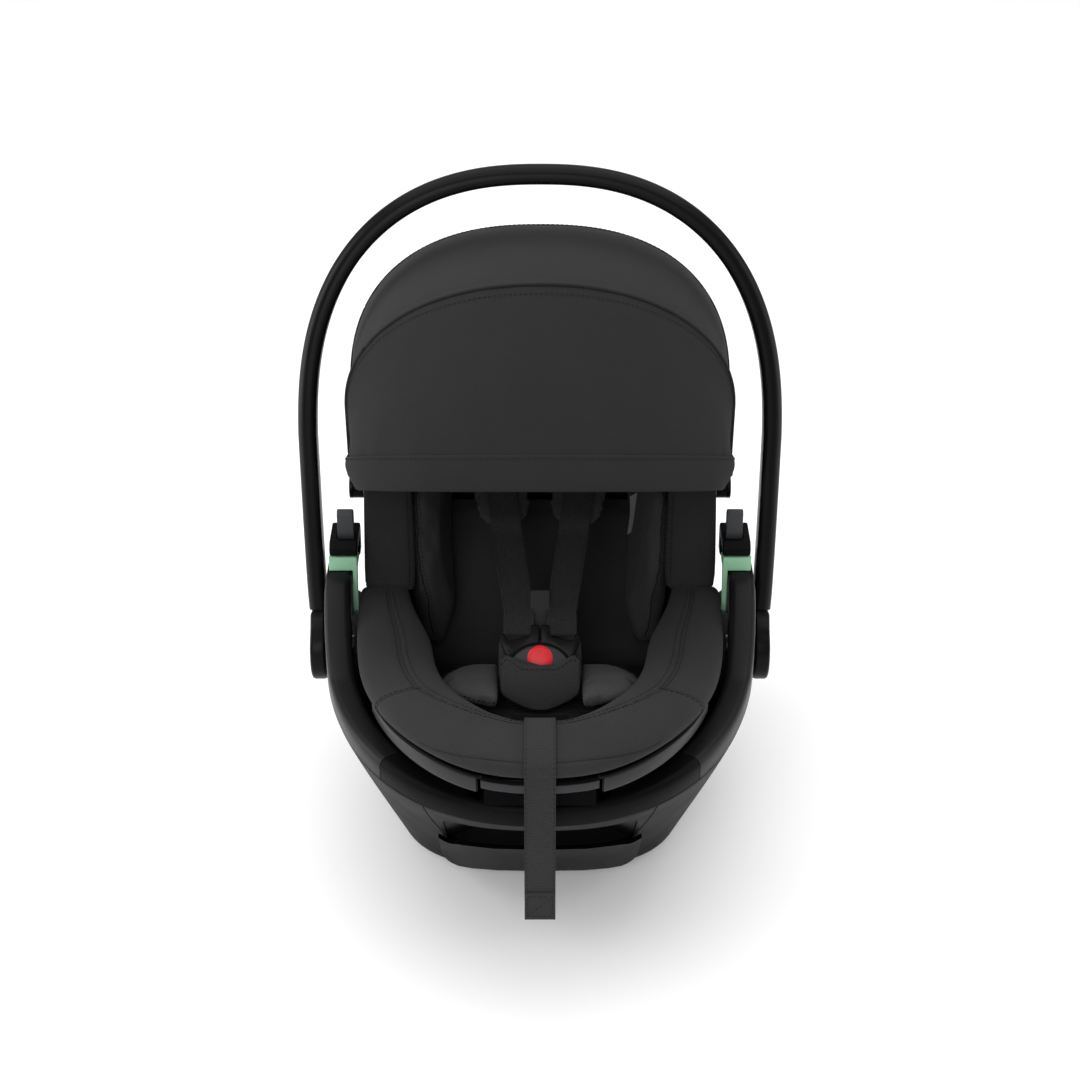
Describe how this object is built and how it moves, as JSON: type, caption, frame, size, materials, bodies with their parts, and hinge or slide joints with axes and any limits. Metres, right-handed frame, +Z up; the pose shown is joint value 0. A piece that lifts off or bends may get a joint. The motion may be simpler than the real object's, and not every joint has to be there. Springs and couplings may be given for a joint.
{
  "type": "infant car seat",
  "caption": "Rear-facing infant carrier: tub base with side arms, reclining padded seat with harness, turning carry handle and folding canopy.",
  "frame": {"origin": "middle of the underside, under the handle axis, where the part stands on the floor", "axes": "+X across the seat, -Y towards the foot end, +Y towards the head end, +Z up"},
  "size_m": [0.4388, 0.6276, 0.5876],
  "materials": {
    "shell": "satin moulded black",
    "trim": "satin moulded dark grey",
    "grey": "satin moulded grey",
    "green": "smooth mint green",
    "steel": "zinc plated",
    "foam": "expanded foam beads",
    "fabric": "melange knit",
    "dark_fabric": "dark spacer mesh",
    "canopy_fabric": "plain weave",
    "webbing": "woven webbing",
    "red": "semi gloss red"
  },
  "bodies": {
    "base": {"base_shell": "shell", "front_lip_panel": "trim", "grip_pocket": "shell", "dock_ring": "steel", "recline_rack": "trim", "side_arm_left": "trim", "side_arm_right": "trim", "front_band": "trim", "belt_guide_left": "green", "belt_guide_right": "green", "belt_hook_left": "shell", "belt_hook_right": "shell", "detent_disc_left": "steel", "detent_disc_right": "steel", "pivot_bolt_left": "steel", "pivot_bolt_right": "steel"},
    "handle": {"handle_bar": "shell", "handle_hub_left": "shell", "handle_hub_right": "shell"},
    "handle_button_left": {"handle_button_left": "grey"},
    "handle_button_right": {"handle_button_right": "grey"},
    "release_lever_left": {"release_lever_left": "grey"},
    "release_lever_right": {"release_lever_right": "grey"},
    "seat": {"seat_shell": "shell", "seat_liner": "foam", "front_trim_left": "grey", "front_trim_right": "grey", "latch_housing": "shell", "foot_bolster": "fabric", "head_bolster": "fabric", "seat_pad": "fabric", "back_pad": "dark_fabric", "thigh_pad_left": "fabric", "thigh_pad_right": "fabric", "side_wing_left": "fabric", "side_wing_right": "fabric", "crotch_strap": "webbing", "crotch_pad": "fabric", "buckle_body": "shell", "tongue_left": "shell", "tongue_right": "shell", "shoulder_strap_left": "webbing", "shoulder_strap_right": "webbing", "shoulder_pad_left": "fabric", "shoulder_pad_right": "fabric", "adjuster_strap": "webbing", "adjuster_plate": "shell", "canopy_pivot_left": "shell", "canopy_pivot_right": "shell", "canopy_rear_panel": "canopy_fabric"},
    "recline_lever": {"recline_lever": "grey"},
    "buckle_button": {"buckle_button": "red"},
    "adjuster_button": {"adjuster_button": "grey"},
    "headrest": {"headrest_pad": "fabric", "headrest_pull": "grey"},
    "rear_bow": {"canopy_rear_bow": "shell", "canopy_mid_panel": "canopy_fabric"},
    "mid_bow": {"canopy_mid_bow": "shell", "canopy_front_panel": "canopy_fabric"},
    "front_bow": {"canopy_front_bow": "shell"}
  },
  "joints": [
    {"name": "seat_recline", "type": "hinge", "parent": "base", "child": "seat", "pos_m": [0, 0, 0.29], "axis": [-1, 0, 0], "range_deg": [0, 15]},
    {"name": "handle_turn", "type": "hinge", "parent": "base", "child": "handle", "pos_m": [0, 0, 0.16], "axis": [-1, 0, 0], "range_deg": [0, 92]},
    {"name": "handle_button_left_press", "type": "slide", "parent": "handle", "child": "handle_button_left", "axis": [1, 0, 0], "range_m": [0, 0.0025], "stiffness_N_per_m": 600},
    {"name": "handle_button_right_press", "type": "slide", "parent": "handle", "child": "handle_button_right", "axis": [-1, 0, 0], "range_m": [0, 0.0025], "stiffness_N_per_m": 600},
    {"name": "release_lever_left_pull", "type": "slide", "parent": "base", "child": "release_lever_left", "axis": [0, 0, 1], "range_m": [0, 0.007], "stiffness_N_per_m": 500},
    {"name": "release_lever_right_pull", "type": "slide", "parent": "base", "child": "release_lever_right", "axis": [0, 0, 1], "range_m": [0, 0.007], "stiffness_N_per_m": 500},
    {"name": "recline_lever_pull", "type": "slide", "parent": "seat", "child": "recline_lever", "axis": [0, -1, 0], "range_m": [0, 0.004], "stiffness_N_per_m": 600},
    {"name": "buckle_button_press", "type": "slide", "parent": "seat", "child": "buckle_button", "axis": [0, 0.788, -0.6157], "range_m": [0, 0.002], "stiffness_N_per_m": 600},
    {"name": "adjuster_button_press", "type": "slide", "parent": "seat", "child": "adjuster_button", "axis": [0, -1, 0], "range_m": [0, 0.003], "stiffness_N_per_m": 500},
    {"name": "headrest_slide", "type": "slide", "parent": "seat", "child": "headrest", "axis": [0, 0.6, 0.8], "range_m": [-0.025, 0.01]},
    {"name": "canopy_rear", "type": "hinge", "parent": "seat", "child": "rear_bow", "pos_m": [0, 0.068, 0.292], "axis": [-1, 0, 0], "range_deg": [0, 44], "deforming": ["canopy_rear_panel"]},
    {"name": "canopy_mid", "type": "hinge", "parent": "rear_bow", "child": "mid_bow", "pos_m": [0, 0.068, 0.292], "axis": [-1, 0, 0], "range_deg": [0, 36.1], "deforming": ["canopy_mid_panel"]},
    {"name": "canopy_front", "type": "hinge", "parent": "mid_bow", "child": "front_bow", "pos_m": [0, 0.068, 0.292], "axis": [-1, 0, 0], "range_deg": [0, 37.1], "deforming": ["canopy_front_panel"]}
  ],
  "couplings": [
    {"joint": "canopy_mid", "follows": "canopy_rear", "ratio": 0.8182},
    {"joint": "canopy_front", "follows": "canopy_rear", "ratio": 0.8409}
  ]
}
